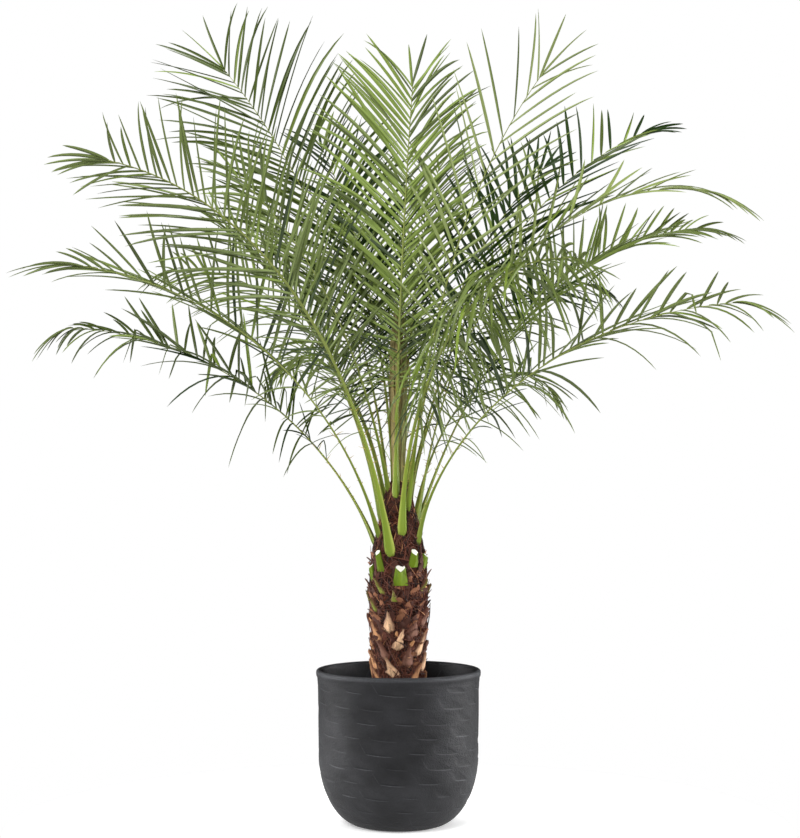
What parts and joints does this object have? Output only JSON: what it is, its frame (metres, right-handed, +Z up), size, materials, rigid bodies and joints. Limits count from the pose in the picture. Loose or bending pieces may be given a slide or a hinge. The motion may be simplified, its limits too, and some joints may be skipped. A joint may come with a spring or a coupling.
{
  "type": "potted pygmy date palm",
  "caption": "Pygmy date palm with a bark-scaled trunk and arching feather fronds, standing in a round matt charcoal pot.",
  "frame": {"origin": "middle of the pot's flat foot, on the floor", "axes": "+Z up along the trunk, -Y towards the side that the picture shows, +X to its right"},
  "size_m": [1.7817, 1.9115, 1.9785],
  "materials": {
    "charcoal_pot": "matt, hand-pressed dents",
    "potting_soil": "loose bark and peat",
    "palm_bark": "fibrous, with pale old leaf bases",
    "spear_bundle": "folded young leaves",
    "cut_stalk": "waxy green, cut pale on top",
    "palm_leaf": "leathery, low sheen"
  },
  "bodies": {
    "root": {"pot": "charcoal_pot", "soil": "potting_soil", "trunk": "palm_bark", "spear": "spear_bundle", "stub_1": "cut_stalk", "stub_2": "cut_stalk", "stub_3": "cut_stalk", "stub_4": "cut_stalk", "stub_5": "cut_stalk", "stub_6": "cut_stalk", "stub_7": "cut_stalk", "stub_8": "cut_stalk", "frond_back_high": "palm_leaf", "frond_back_left_high": "palm_leaf", "frond_back_left_low": "palm_leaf", "frond_back_left_mid": "palm_leaf", "frond_back_low": "palm_leaf", "frond_back_mid": "palm_leaf", "frond_back_right_low": "palm_leaf", "frond_back_right_mid": "palm_leaf", "frond_front_left": "palm_leaf", "frond_front_right": "palm_leaf", "frond_front_upright": "palm_leaf", "frond_left_inner": "palm_leaf", "frond_left_long": "palm_leaf", "frond_left_low": "palm_leaf", "frond_left_mid": "palm_leaf", "frond_right_dark": "palm_leaf", "frond_right_inner": "palm_leaf", "frond_right_light": "palm_leaf", "frond_right_low": "palm_leaf", "frond_right_mid": "palm_leaf", "frond_upper_left": "palm_leaf", "frond_upper_right": "palm_leaf"}
  },
  "joints": []
}
